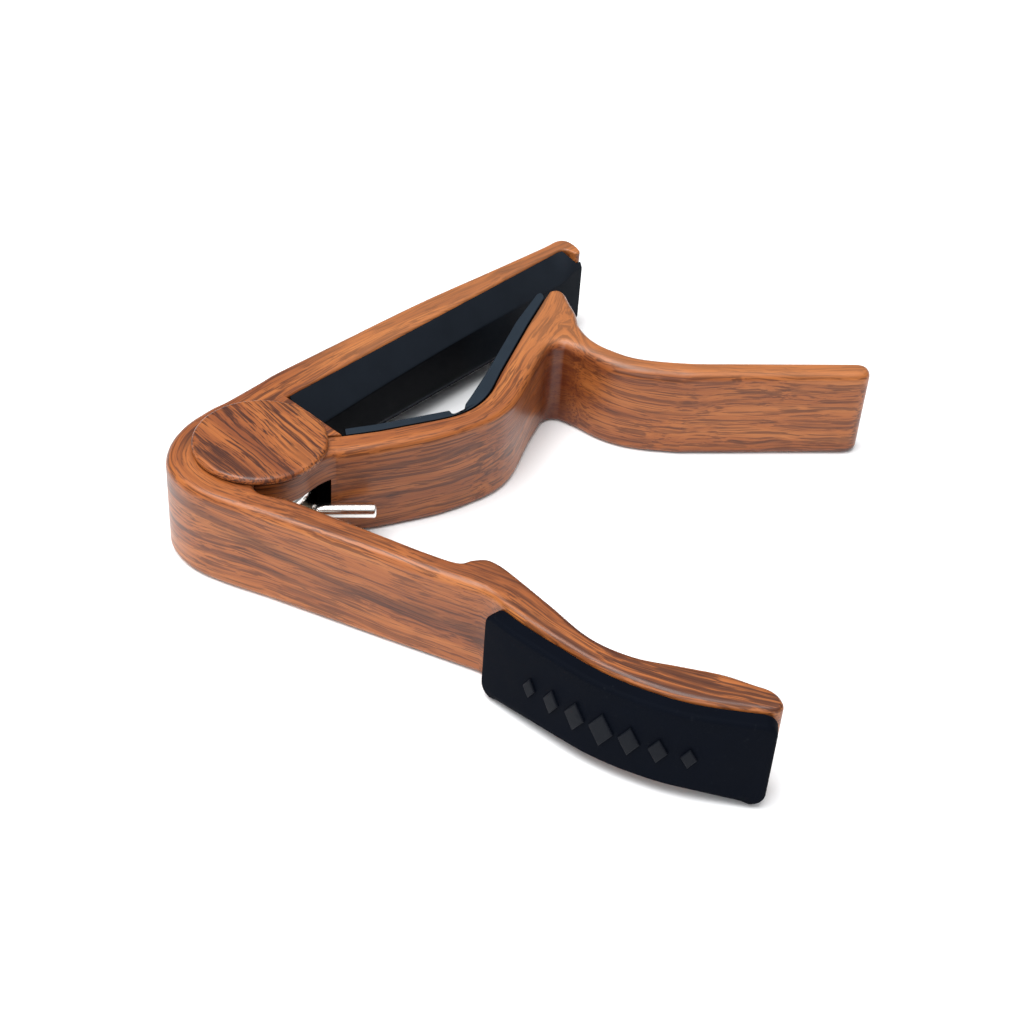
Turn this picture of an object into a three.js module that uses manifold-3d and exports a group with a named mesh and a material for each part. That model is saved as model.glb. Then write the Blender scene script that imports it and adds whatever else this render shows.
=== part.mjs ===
// Spring trigger capo for a guitar neck, lying on its side.
// Millimetres, +Z up. The pivot axis is the Z axis and z = 0 is the side it lies on.
import * as THREE from 'three';
import { mergeVertices } from 'three/addons/utils/BufferGeometryUtils.js';
import Module from 'manifold-3d';

const wasm = await Module();
wasm.setup();

// Castings
const WIDTH = 15.8;
const EDGE_ROUND = 1;
const EDGE_STEPS = 3;
const CURVE_STEPS = 4;
const ROUND_STEPS = 72;
const DRUM_STEPS = 56;
const GAP = 0.3;
const BOND_GAP = 0.2;
const RUN_GAP = 0.2;
const OVERCUT = 2;

// Hub: the main body wraps the jaw lever's drum as a C
const DRUM_RADIUS = 8.9;
const BORE_RADIUS = DRUM_RADIUS + GAP;
const LIP_RADIUS = 8;
const LIP_TOP = 1.6;
const LIP_CLEARANCE = 0.1;
const DRUM_FLOOR = LIP_TOP + GAP;
const DRUM_TOP = 15;
const THROAT = [11.5, 4.25];
const MOUTH_UPPER = [8.7, 3.2];
const MOUTH_LOWER = [0.5, -9.6];

// String bar: a straight arm that carries the string pad
const BAR_ROOT = [2.1, 12.8];
const BAR_ANGLE = THREE.MathUtils.degToRad(50.9);
const BAR_LENGTH = 67.4;
const LIP_ROUND = 0.4;
const PAD_START = 0.5;
const PAD_LENGTH = 64.6;
const CROWN_LENGTH = 66.1;
const CROWN_LOW = 3.4;
const CROWN_LOW_AT = 0.7;
const CROWN_HOLLOW = 1.8;
const CROWN_STEPS = 16;
const FLANK_REACH = 3.8;
const FLANK_DROP = 4.5;
const FLANK_STEEPNESS = 1.2;

// Neck pad on the jaw
const NECK_PAD_THICK = 1.8;
const NECK_WEB_THICK = 0.6;

// Rubber grip on the trigger handle
const GRIP_THICK = 2.4;
const GRIP_BOTTOM = 0.5;
const GRIP_TOP = 15.2;
const GRIP_ROUND = 1.5;
const GRIP_CORNER = 2;
const GRIP_START = 0.036;
const GRIP_END = 1;
const GRIP_BACKING = 4;
const SEAT_CORNER = 0.97;
const MOTIF_COUNT = 7;
const MOTIF_RAISE = 0.4;
const MOTIF_ROOT = 1;
const MOTIF_TAPER = 0.4;
const MOTIF_HALF_HEIGHT = 2.7;
const MOTIF_HALF_WIDTH = 1.5;
const MOTIF_FROM = 0.24;
const MOTIF_TO = 0.76;

// Torsion spring
const WIRE_RADIUS = 1.15;
const COIL_RADIUS = 6.8;
const LEG_HEIGHT = 6.3;
const COIL_START = 5.5;
// Height of the wire's centreline at some turns of the coil: [radians, height].
const COIL_RISE = [[0, COIL_START], [4.3, 6.9], [5.85, 9.2], [10.6, 9.3]];
const BEND_RADIUS = 2.4;
const JAW_LEG_ANGLE = THREE.MathUtils.degToRad(6.8);
const JAW_LEG_LENGTH = 8;
const BODY_LEG_ANGLE = THREE.MathUtils.degToRad(-24);
const BODY_LEG_LENGTH = 17;
const COIL_SWEEP = 3 * Math.PI + BODY_LEG_ANGLE + Math.PI / 2;
const SLOT_BOTTOM = 4.2;
const SLOT_TOP = 11.1;
const SLOT_RADIUS = 8.3;
const SLOT_END_X = 10.6;

// Pivot pin, caps, washers and sleeve
const PIN_RADIUS = 2.5;
const PIN_BOTTOM = 0.9;
const PIN_TOP = 16.2;
const PIN_CHAMFER = 0.3;
const SOCKET_RADIUS = 2.6;
const BOSS_RADIUS = 3.4;
const BOSS_CLEAR_RADIUS = 3.7;
const CAP_RADIUS = 10;
const CAP_BOTTOM = WIDTH + RUN_GAP;
const CAP_TOP = WIDTH + 1.3;
const CAP_ROUND = 1;
const CAP_BOSS_BOTTOM = 14.5;
const CAP_SOCKET_TOP = 16.4;
const BASE_CAP_RADIUS = 7.6;
const BASE_CAP_TOP = 1.5;
const BASE_BOSS_TOP = 2.9;
const BASE_SOCKET_BOTTOM = 0.7;
const WASHER_THICK = 0.4;
const WASHER_INNER = 3.8;
const TOP_WASHER_OUTER = 8.6;
const TOP_WASHER_BOTTOM = DRUM_TOP + RUN_GAP;
const BASE_WASHER_OUTER = 7.4;
const BASE_RECESS_TOP = 2.3;
const BASE_WASHER_BOTTOM = BASE_CAP_TOP + RUN_GAP;
const SLEEVE_INNER = 2.7;
const SLEEVE_OUTER = 5.3;

function toSolid(geometry) {
  geometry.deleteAttribute('normal');
  geometry.deleteAttribute('uv');
  const merged = mergeVertices(geometry, 1e-5);
  return new wasm.Manifold(new wasm.Mesh({
    numProp: 3,
    vertProperties: new Float32Array(merged.attributes.position.array),
    triVerts: new Uint32Array(merged.index.array),
  }));
}

function toGeometry(solid) {
  const mesh = solid.getMesh();
  const geometry = new THREE.BufferGeometry();
  geometry.setAttribute('position', new THREE.BufferAttribute(mesh.vertProperties, 3));
  geometry.setIndex(new THREE.BufferAttribute(mesh.triVerts, 1));
  geometry.computeVertexNormals();
  return geometry;
}

function prism(shape, bottom, top) {
  const geometry = new THREE.ExtrudeGeometry(shape, {
    depth: top - bottom, bevelEnabled: false, curveSegments: CURVE_STEPS,
  });
  geometry.translate(0, 0, bottom);
  return toSolid(geometry);
}

// A prism whose top and bottom edges are rounded inside its outline.
function roundedPrism(shape, bottom, top, round, steps = EDGE_STEPS) {
  const geometry = new THREE.ExtrudeGeometry(shape, {
    depth: top - bottom - 2 * round,
    bevelThickness: round,
    bevelSize: round,
    bevelOffset: -round,
    bevelSegments: steps,
    curveSegments: CURVE_STEPS,
  });
  geometry.translate(0, 0, bottom + round);
  return toSolid(geometry);
}

function cylinder(radius, bottom, top) {
  const geometry = new THREE.CylinderGeometry(radius, radius, top - bottom, ROUND_STEPS);
  geometry.rotateX(Math.PI / 2);
  geometry.translate(0, 0, (bottom + top) / 2);
  return toSolid(geometry);
}

function block(low, high) {
  const geometry = new THREE.BoxGeometry(high[0] - low[0], high[1] - low[1], high[2] - low[2]);
  geometry.translate((high[0] + low[0]) / 2, (high[1] + low[1]) / 2, (high[2] + low[2]) / 2);
  return toSolid(geometry);
}

// A round piece about the pivot axis, from [radius, z] pairs.
function turned(profile) {
  const points = profile.map(([radius, z]) => new THREE.Vector2(radius, z));
  const geometry = new THREE.LatheGeometry(points, ROUND_STEPS);
  geometry.rotateX(Math.PI / 2);
  return toSolid(geometry);
}

function vectors(pairs) {
  return pairs.map(([x, y]) => new THREE.Vector2(x, y));
}

// A point on the string bar: distance along its inner face, and distance off it towards the jaw.
function barPoint(along, across) {
  const x = BAR_ROOT[0] + along * Math.cos(BAR_ANGLE) + across * Math.sin(BAR_ANGLE);
  const y = BAR_ROOT[1] + along * Math.sin(BAR_ANGLE) - across * Math.cos(BAR_ANGLE);
  return [x, y];
}

// Outer wall of the trigger handle under the rubber grip.
const GRIP_SEAT = new THREE.SplineCurve(vectors([
  [35.8, -29.3], [39.7, -33.3], [44.7, -37.3], [51, -41.9], [57.6, -45], [64, -46.7], [73.7, -47.5],
]));

// The seat curve moved outwards (or inwards when negative) between two places along it.
function seatOffset(distance, from, to, count) {
  const points = [];
  for (let i = 0; i <= count; i += 1) {
    const place = from + (to - from) * i / count;
    const point = GRIP_SEAT.getPointAt(place);
    const tangent = GRIP_SEAT.getTangentAt(place);
    points.push(new THREE.Vector2(point.x + tangent.y * distance, point.y - tangent.x * distance));
  }
  return points;
}

function mainBodyOutline() {
  const shape = new THREE.Shape();
  shape.moveTo(...THROAT);
  shape.lineTo(...BAR_ROOT);
  shape.lineTo(...barPoint(65.5, 0));
  shape.quadraticCurveTo(...barPoint(67.5, 0), ...barPoint(67.55, -1.4));
  shape.quadraticCurveTo(...barPoint(67.5, -2.75), ...barPoint(64.9, -2.82));
  shape.splineThru(vectors([
    barPoint(50, -3.95), barPoint(34, -5.2), barPoint(16, -5.8), barPoint(2, -6.2),
  ]));
  shape.splineThru(vectors([
    [-6.7, 11.2], [-9.2, 8.3], [-12.1, 3.6], [-13.3, -1.5], [-12.5, -6.5], [-9.1, -10.8],
    [-4.2, -13.5], [3, -16.1],
  ]));
  shape.lineTo(20.8, -23.1);
  shape.lineTo(34.6, -28.4);
  seatOffset(0, 0, SEAT_CORNER, 20).forEach((point) => shape.lineTo(point.x, point.y));
  shape.quadraticCurveTo(74.5, -47.5, 74.2, -45.8);
  shape.quadraticCurveTo(73.9, -44, 72, -43);
  shape.splineThru(vectors([
    [67, -41], [61, -39.9], [54.9, -38.8], [49.3, -35.8], [44.1, -30.2], [38.6, -24.3],
    [36.4, -22.3], [34.6, -21.5], [32.6, -21.9], [30.6, -22.6], [25.6, -20.7],
  ]));
  shape.lineTo(13.9, -15.3);
  shape.lineTo(8.5, -12.9);
  shape.quadraticCurveTo(6, -11.8, 3.4, -11.4);
  shape.quadraticCurveTo(1, -11.1, ...MOUTH_LOWER);
  shape.lineTo(0, 0);
  shape.lineTo(...MOUTH_UPPER);
  return shape;
}

// Thin end lip of the string bar, curled round the end of the pad.
function barLip() {
  const shape = new THREE.Shape();
  shape.moveTo(...barPoint(62.8, -0.9));
  shape.lineTo(...barPoint(63.4, 0));
  shape.quadraticCurveTo(...barPoint(65, 0), ...barPoint(65, 1.6));
  shape.lineTo(...barPoint(65.1, 2.6));
  shape.quadraticCurveTo(...barPoint(65.7, 3.2), ...barPoint(66.4, 2.5));
  shape.quadraticCurveTo(...barPoint(67.2, 1.2), ...barPoint(67.4, -0.9));
  return roundedPrism(shape, 0, WIDTH, LIP_ROUND, 2);
}

// V-shaped casting: string bar, C-shaped hub and trigger handle.
function mainBody() {
  const arms = roundedPrism(mainBodyOutline(), 0, WIDTH, EDGE_ROUND);
  const casting = arms.add(barLip());
  const bore = cylinder(BORE_RADIUS, LIP_TOP, WIDTH + OVERCUT);
  const floorHole = cylinder(LIP_RADIUS, -OVERCUT, WIDTH);
  return casting.subtract(bore).subtract(floorHole);
}

function jawLeverOutline() {
  const shape = new THREE.Shape();
  shape.moveTo(11.6, 3.9);
  const rootInner = THREE.MathUtils.degToRad(18);
  const rootOuter = THREE.MathUtils.degToRad(-30);
  for (let i = 0; i <= DRUM_STEPS; i += 1) {
    const angle = rootInner + (2 * Math.PI + rootOuter - rootInner) * i / DRUM_STEPS;
    shape.lineTo(DRUM_RADIUS * Math.cos(angle), DRUM_RADIUS * Math.sin(angle));
  }
  shape.quadraticCurveTo(9.36, -1.59, 11.2, -0.55);
  shape.splineThru(vectors([
    [13.4, 0.3], [18.9, 2.4], [26.5, 6.1], [31.5, 9.7], [34, 11.9], [36, 14.5], [37.6, 18.3],
    [39.6, 26.4], [41.2, 31.6],
  ]));
  shape.quadraticCurveTo(42.1, 33.6, 44, 33.4);
  shape.splineThru(vectors([
    [46.8, 31.8], [50.2, 29.3], [53.6, 27.7], [57.8, 26.9], [63.7, 26.8],
  ]));
  shape.lineTo(75.4, 28.3);
  shape.lineTo(90.6, 30.3);
  shape.quadraticCurveTo(93.3, 30.7, 93.4, 32.2);
  shape.quadraticCurveTo(93.3, 34.6, 91, 34.4);
  shape.lineTo(71.6, 31.9);
  shape.splineThru(vectors([
    [63.9, 31], [56.3, 31.2], [51.8, 33], [48.7, 35.4], [46.5, 39.2], [45.7, 43.2], [44.2, 47.3],
  ]));
  shape.quadraticCurveTo(43.1, 50.5, 41.1, 48.9);
  shape.lineTo(38.1, 38.4);
  shape.splineThru(vectors([[34.4, 24.1], [33, 18.2], [31, 14.2], [28.4, 11.6], [25.7, 10]]));
  shape.lineTo(17.1, 5.95);
  return shape;
}

// Opposing lever: drum in the C-shaped hub, bulged jaw arm, pointed tip and squeeze handle.
function jawLever() {
  const casting = roundedPrism(jawLeverOutline(), 0, WIDTH, EDGE_ROUND);
  const topRecess = cylinder(BORE_RADIUS, DRUM_TOP, WIDTH + OVERCUT);
  const lipClearance = cylinder(BORE_RADIUS + LIP_CLEARANCE, -OVERCUT, DRUM_FLOOR);
  const baseRecess = cylinder(BASE_CAP_RADIUS, 0, BASE_RECESS_TOP);
  const pinHole = cylinder(SOCKET_RADIUS, 0, WIDTH);
  const topBossHole = cylinder(BOSS_CLEAR_RADIUS, CAP_BOSS_BOTTOM - GAP, WIDTH);
  const baseBossHole = cylinder(BOSS_CLEAR_RADIUS, 0, BASE_BOSS_TOP + GAP);
  const springRoom = cylinder(SLOT_RADIUS, SLOT_BOTTOM, SLOT_TOP);
  const slot = block([-CAP_RADIUS, -DRUM_RADIUS - OVERCUT, SLOT_BOTTOM], [SLOT_END_X, 0, SLOT_TOP]);
  return casting
    .subtract(topRecess)
    .subtract(lipClearance)
    .subtract(baseRecess)
    .subtract(pinHole)
    .subtract(topBossHole)
    .subtract(baseBossHole)
    .subtract(springRoom)
    .subtract(slot);
}

// Height of the pad's hollow crown above the bar, to follow a cambered fingerboard.
function crownAt(along) {
  return CROWN_LOW + CROWN_HOLLOW * (along / CROWN_LENGTH - CROWN_LOW_AT) ** 2;
}

function stringPad() {
  const plan = new THREE.Shape();
  plan.moveTo(...barPoint(PAD_START, BOND_GAP));
  for (let i = 0; i <= CROWN_STEPS; i += 1) {
    const along = PAD_START + (CROWN_LENGTH - PAD_START) * i / CROWN_STEPS;
    plan.lineTo(...barPoint(along, crownAt(along)));
  }
  plan.lineTo(...barPoint(CROWN_LENGTH, 3.2));
  plan.lineTo(...barPoint(PAD_LENGTH, 3.1));
  plan.lineTo(...barPoint(PAD_LENGTH, 1.6));
  plan.quadraticCurveTo(...barPoint(PAD_LENGTH, BOND_GAP), ...barPoint(63.3, BOND_GAP));
  const slab = prism(plan, BOND_GAP, WIDTH - BOND_GAP);
  const section = new THREE.Shape(vectors([
    [-1, BOND_GAP],
    [BOND_GAP, BOND_GAP],
    [FLANK_REACH, FLANK_DROP],
    [FLANK_REACH + 1, FLANK_DROP + FLANK_STEEPNESS],
    [FLANK_REACH + 1, WIDTH - FLANK_DROP - FLANK_STEEPNESS],
    [FLANK_REACH, WIDTH - FLANK_DROP],
    [BOND_GAP, WIDTH - BOND_GAP],
    [-1, WIDTH - BOND_GAP],
  ]));
  const wedge = new THREE.ExtrudeGeometry(section, { depth: BAR_LENGTH + 4, bevelEnabled: false });
  const across = new THREE.Vector3(Math.sin(BAR_ANGLE), -Math.cos(BAR_ANGLE), 0);
  const alongBar = new THREE.Vector3(-Math.cos(BAR_ANGLE), -Math.sin(BAR_ANGLE), 0);
  const frame = new THREE.Matrix4().makeBasis(across, new THREE.Vector3(0, 0, 1), alongBar);
  const far = barPoint(BAR_LENGTH + 2, 0);
  frame.setPosition(far[0], far[1], 0);
  wedge.applyMatrix4(frame);
  return slab.intersect(toSolid(wedge));
}

// Strip along the jaw's inner wall, cut to a thin web where the jaw bends.
function neckPad() {
  const shape = new THREE.Shape();
  const thick = NECK_PAD_THICK + BOND_GAP;
  shape.moveTo(12.1, 4.3);
  shape.lineTo(17.05, 6.2);
  shape.lineTo(25.6, 10.2);
  shape.splineThru(vectors([[28.25, 11.75], [30.85, 14.4], [32.8, 18.25], [34.2, 24.15]]));
  shape.lineTo(37.9, 38.45);
  shape.lineTo(40.3, 46.8);
  shape.quadraticCurveTo(40.2, 48, 39.6, 48.4);
  shape.lineTo(39, 47.8);
  shape.lineTo(37.95 - thick, 38.9);
  shape.lineTo(34.25 - thick, 24.6);
  shape.quadraticCurveTo(30.6, 18.8, 29.5, 15.4);
  shape.quadraticCurveTo(29.1, 14.3, 29.3, 13.2);
  shape.lineTo(28.35 + NECK_WEB_THICK / 2, 12.25 + NECK_WEB_THICK / 2);
  shape.lineTo(27.5, 11.55 + NECK_WEB_THICK / 2);
  shape.lineTo(27, 12.7);
  shape.lineTo(24.85, 11.7);
  shape.lineTo(16.4, 7.7);
  shape.lineTo(11.75, 5.9);
  return prism(shape, BOND_GAP, WIDTH - BOND_GAP);
}

// Bonded rubber cover with rounded outer edges and a row of raised lozenges.
function handleGrip() {
  const band = new THREE.Shape([
    ...seatOffset(BOND_GAP, GRIP_START, GRIP_END, 20),
    ...seatOffset(BOND_GAP + GRIP_THICK, GRIP_START, GRIP_END, 20).reverse(),
  ].reverse());
  const backed = new THREE.Shape([
    ...seatOffset(-GRIP_BACKING, GRIP_START, GRIP_END, 20),
    ...seatOffset(BOND_GAP + GRIP_THICK, GRIP_START, GRIP_END, 20).reverse(),
  ].reverse());
  const cover = prism(band, GRIP_BOTTOM, GRIP_TOP);
  let grip = cover.intersect(roundedPrism(backed, GRIP_BOTTOM, GRIP_TOP, GRIP_ROUND));
  for (const [place, inward] of [[GRIP_START, 1], [GRIP_END, -1]]) {
    grip = grip.subtract(cornerCutter(place, inward, 1)).subtract(cornerCutter(place, inward, -1));
  }
  for (let i = 0; i < MOTIF_COUNT; i += 1) {
    const place = MOTIF_FROM + (MOTIF_TO - MOTIF_FROM) * i / (MOTIF_COUNT - 1);
    const fromMiddle = Math.abs(2 * i / (MOTIF_COUNT - 1) - 1);
    grip = grip.add(lozenge(place, 1 - MOTIF_TAPER * fromMiddle));
  }
  return grip;
}

// Places a shape drawn along and up the seat, and extruded outwards, at one point of the grip.
function ontoSeat(geometry, place, offset) {
  const tangent = GRIP_SEAT.getTangentAt(place);
  const along = new THREE.Vector3(tangent.x, tangent.y, 0);
  const outward = new THREE.Vector3(tangent.y, -tangent.x, 0);
  const frame = new THREE.Matrix4().makeBasis(along, new THREE.Vector3(0, 0, 1), outward);
  const base = seatOffset(offset, place, place, 1)[0];
  frame.setPosition(base.x, base.y, (GRIP_BOTTOM + GRIP_TOP) / 2);
  geometry.applyMatrix4(frame);
  return toSolid(geometry);
}

// What lies outside the rounded corner at one end of the grip, above or below the middle.
function cornerCutter(place, inward, side) {
  const top = (GRIP_TOP - GRIP_BOTTOM) / 2;
  const centre = [inward * GRIP_CORNER, top - GRIP_CORNER];
  const corner = [[-inward * OVERCUT, centre[1]], [0, centre[1]]];
  for (let i = 1; i <= 6; i += 1) {
    const angle = i / 6 * Math.PI / 2;
    const x = centre[0] - inward * GRIP_CORNER * Math.cos(angle);
    corner.push([x, centre[1] + GRIP_CORNER * Math.sin(angle)]);
  }
  corner.push([centre[0], top + OVERCUT], [-inward * OVERCUT, top + OVERCUT]);
  const outline = corner.map(([x, z]) => [x, z * side]);
  const shape = new THREE.Shape(vectors(inward * side > 0 ? outline.reverse() : outline));
  const depth = GRIP_THICK + 2 * OVERCUT;
  const geometry = new THREE.ExtrudeGeometry(shape, { depth, bevelEnabled: false });
  return ontoSeat(geometry, place, -OVERCUT);
}

function lozenge(place, size) {
  const shape = new THREE.Shape(vectors([
    [MOTIF_HALF_WIDTH * size, 0],
    [0, MOTIF_HALF_HEIGHT * size],
    [-MOTIF_HALF_WIDTH * size, 0],
    [0, -MOTIF_HALF_HEIGHT * size],
  ]));
  const geometry = new THREE.ExtrudeGeometry(shape, {
    depth: MOTIF_ROOT, bevelThickness: MOTIF_RAISE, bevelSize: MOTIF_RAISE / 2, bevelSegments: 1,
  });
  return ontoSeat(geometry, place, BOND_GAP + GRIP_THICK - MOTIF_ROOT);
}

// Height of the coil: a low turn, a short rise, and a high turn that lies on it.
function coilHeight(angle) {
  const last = COIL_RISE.length - 1;
  let i = 1;
  while (i < last && COIL_RISE[i][0] < angle) i += 1;
  const [from, low] = COIL_RISE[i - 1];
  const [to, high] = COIL_RISE[i];
  const share = THREE.MathUtils.clamp((angle - from) / (to - from), 0, 1);
  return low + (high - low) * (i === 2 ? THREE.MathUtils.smoothstep(share, 0, 1) : share);
}

// Centreline of the spring: jaw leg, outward bend, coil, then the straight body leg.
class SpringPath extends THREE.Curve {
  constructor() {
    super();
    this.bendSweep = Math.PI / 2 + JAW_LEG_ANGLE;
    this.coilLength = COIL_RADIUS * COIL_SWEEP;
    this.bendLength = BEND_RADIUS * this.bendSweep;
    this.parts = [JAW_LEG_LENGTH, this.bendLength, this.coilLength, BODY_LEG_LENGTH];
    this.total = this.parts.reduce((sum, part) => sum + part, 0);
  }

  getPoint(t, target = new THREE.Vector3()) {
    const [leg, bend, coil] = this.parts;
    const run = t * this.total;
    const bendX = COIL_RADIUS + BEND_RADIUS;
    const endX = bendX + BEND_RADIUS * Math.sin(JAW_LEG_ANGLE);
    const endY = -BEND_RADIUS * Math.cos(JAW_LEG_ANGLE);
    if (run < leg) {
      const out = leg - run;
      const x = endX + out * Math.cos(JAW_LEG_ANGLE);
      const y = endY + out * Math.sin(JAW_LEG_ANGLE);
      return target.set(x, y, LEG_HEIGHT);
    }
    if (run < leg + bend) {
      const angle = JAW_LEG_ANGLE - Math.PI / 2 - (run - leg) / BEND_RADIUS;
      const x = bendX + BEND_RADIUS * Math.cos(angle);
      const drop = (1 - Math.cos(Math.PI * (run - leg) / bend)) / 2;
      const height = LEG_HEIGHT + (COIL_START - LEG_HEIGHT) * drop;
      return target.set(x, BEND_RADIUS * Math.sin(angle), height);
    }
    const angle = Math.min((run - leg - bend) / COIL_RADIUS, COIL_SWEEP);
    const z = coilHeight(angle);
    const past = Math.max(run - leg - bend - coil, 0);
    const x = COIL_RADIUS * Math.cos(angle) - past * Math.sin(angle);
    const y = COIL_RADIUS * Math.sin(angle) + past * Math.cos(angle);
    return target.set(x, y, z);
  }
}

function torsionSpring() {
  const wire = new THREE.Shape();
  wire.absarc(0, 0, WIRE_RADIUS, 0, 2 * Math.PI, false);
  const geometry = new THREE.ExtrudeGeometry(wire, {
    steps: 90, extrudePath: new SpringPath(), curveSegments: 6,
  });
  return toSolid(geometry);
}

function pivotPin() {
  return turned([
    [0, PIN_BOTTOM],
    [PIN_RADIUS - PIN_CHAMFER, PIN_BOTTOM],
    [PIN_RADIUS, PIN_BOTTOM + PIN_CHAMFER],
    [PIN_RADIUS, PIN_TOP - PIN_CHAMFER],
    [PIN_RADIUS - PIN_CHAMFER, PIN_TOP],
    [0, PIN_TOP],
  ]);
}

function capRim() {
  const rim = [];
  for (let i = 0; i <= 6; i += 1) {
    const angle = i / 6 * Math.PI / 2;
    const radius = CAP_RADIUS - CAP_ROUND + CAP_ROUND * Math.cos(angle);
    rim.push([radius, CAP_TOP - CAP_ROUND + CAP_ROUND * Math.sin(angle)]);
  }
  return rim;
}

function pivotCapTop() {
  return turned([
    [0, CAP_SOCKET_TOP],
    [SOCKET_RADIUS, CAP_SOCKET_TOP],
    [SOCKET_RADIUS, CAP_BOSS_BOTTOM],
    [BOSS_RADIUS, CAP_BOSS_BOTTOM],
    [BOSS_RADIUS, CAP_BOTTOM],
    [CAP_RADIUS, CAP_BOTTOM],
    ...capRim(),
    [0, CAP_TOP],
  ]);
}

function pivotCapBottom() {
  return turned([
    [0, 0],
    [BASE_CAP_RADIUS - GAP, 0],
    [BASE_CAP_RADIUS - GAP, BASE_CAP_TOP],
    [BOSS_RADIUS, BASE_CAP_TOP],
    [BOSS_RADIUS, BASE_BOSS_TOP],
    [SOCKET_RADIUS, BASE_BOSS_TOP],
    [SOCKET_RADIUS, BASE_SOCKET_BOTTOM],
    [0, BASE_SOCKET_BOTTOM],
  ]);
}

function tube(inner, outer, bottom, top) {
  return turned([[inner, bottom], [outer, bottom], [outer, top], [inner, top], [inner, bottom]]);
}

const group = new THREE.Group();
group.name = 'guitar_capo';

function addPiece(name, solid, color, roughness, metalness) {
  const material = new THREE.MeshStandardMaterial({ color, roughness, metalness });
  material.name = name;
  const mesh = new THREE.Mesh(toGeometry(solid), material);
  mesh.name = name;
  group.add(mesh);
}

const WOOD_LOOK = 0xa9683c;
const RUBBER = 0x24282e;
const NICKEL = 0xc9c6bf;
const NYLON = 0xd9d6cc;

addPiece('main_body', mainBody(), WOOD_LOOK, 0.4, 0.1);
addPiece('jaw_lever', jawLever(), WOOD_LOOK, 0.4, 0.1);
addPiece('pivot_cap_top', pivotCapTop(), WOOD_LOOK, 0.4, 0.1);
addPiece('pivot_cap_bottom', pivotCapBottom(), WOOD_LOOK, 0.4, 0.1);
addPiece('string_pad', stringPad(), RUBBER, 0.75, 0);
addPiece('neck_pad', neckPad(), RUBBER, 0.75, 0);
addPiece('handle_grip', handleGrip(), RUBBER, 0.7, 0);
addPiece('torsion_spring', torsionSpring(), NICKEL, 0.2, 1);
addPiece('pivot_pin', pivotPin(), NICKEL, 0.3, 1);
const sleeve = tube(SLEEVE_INNER, SLEEVE_OUTER, SLOT_BOTTOM + RUN_GAP, SLOT_TOP - RUN_GAP);
addPiece('spring_sleeve', sleeve, NYLON, 0.6, 0);
addPiece(
  'thrust_washer_top',
  tube(WASHER_INNER, TOP_WASHER_OUTER, TOP_WASHER_BOTTOM, TOP_WASHER_BOTTOM + WASHER_THICK),
  NYLON, 0.6, 0,
);
addPiece(
  'thrust_washer_bottom',
  tube(WASHER_INNER, BASE_WASHER_OUTER, BASE_WASHER_BOTTOM, BASE_WASHER_BOTTOM + WASHER_THICK),
  NYLON, 0.6, 0,
);

export default group;
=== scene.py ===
import math

import bmesh
import bpy
from mathutils import Matrix, Vector, geometry


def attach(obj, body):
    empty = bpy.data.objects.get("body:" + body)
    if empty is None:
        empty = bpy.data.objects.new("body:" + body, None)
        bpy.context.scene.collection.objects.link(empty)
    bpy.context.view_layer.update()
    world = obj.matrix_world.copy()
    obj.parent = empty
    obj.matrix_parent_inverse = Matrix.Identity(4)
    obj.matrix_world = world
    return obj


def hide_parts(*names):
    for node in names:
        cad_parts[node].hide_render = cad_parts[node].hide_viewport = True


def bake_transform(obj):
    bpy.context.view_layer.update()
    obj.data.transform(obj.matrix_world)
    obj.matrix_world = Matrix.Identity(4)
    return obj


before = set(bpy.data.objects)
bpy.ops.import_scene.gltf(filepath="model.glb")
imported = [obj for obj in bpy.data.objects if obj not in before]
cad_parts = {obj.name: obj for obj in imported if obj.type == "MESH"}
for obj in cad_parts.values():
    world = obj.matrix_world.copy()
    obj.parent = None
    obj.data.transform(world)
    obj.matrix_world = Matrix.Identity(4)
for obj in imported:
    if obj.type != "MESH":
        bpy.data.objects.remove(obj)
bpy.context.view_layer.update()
MM = 0.001

# Shared dimensions of the capo, in millimetres
WIDTH = 15.8
BORE_RADIUS = 9.2
DRUM_RADIUS = 8.9
BAR_ROOT = (2.1, 12.8)
BAR_ANGLE = math.radians(50.9)
SEAT = [(35.8, -29.3), (39.7, -33.3), (44.7, -37.3), (51, -41.9), (57.6, -45), (64, -46.7), (73.7, -47.5)]
SLOT_LOW = 4.2
SLOT_HIGH = 11.1
SLOT_RADIUS = 8.3
SLOT_END = 10.6
POINT_SPACING = 1.6
ROUND_REACH = 2.5

# Jaw drum and the caps on its ends
DRUM_TOP = 15
LIP_TOP = 1.6
DRUM_FLOOR = 1.9
BASE_RECESS_RADIUS = 7.6
BASE_RECESS = 2.3
PIN_HOLE = 2.6
BOSS_HOLE = 3.7
BOSS_RADIUS = 3.4
CAP_RADIUS = 10
CAP_BOTTOM_RADIUS = 7.3
ROOT_ANGLE = math.radians(330)
ROOT_SIDE = -2.4
ROOT_REACH = 14
VALLEY = (43, 32.4)

# Torsion spring
WIRE = 1.15
WIRE_END = 0.4
COIL = 6.8
BEND = 2.4
LEG_HEIGHT = 6.3
LEG_LENGTH = 8
LEG_TURN = math.radians(6.8)
BODY_LEG_LENGTH = 17
SWEEP = 3.5 * math.pi + math.radians(-24)
COIL_RISE = [(0, 5.5), (4.3, 6.9), (5.85, 9.2), (10.6, 9.3)]

# Rubber grip and its raised motif
GRIP_START = 0.036
GRIP_LOW = 0.5
GRIP_HIGH = 15.2
GRIP_OFF = 0.2
GRIP_FACE = 2.6
MOTIF_FACE = 3.05
MOTIF_ROOT = 2.2
MOTIF_COUNT = 7
MOTIF_HEIGHT = 7.85
MOTIF_WIDE = 1.7
MOTIF_TALL = 2.9

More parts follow.
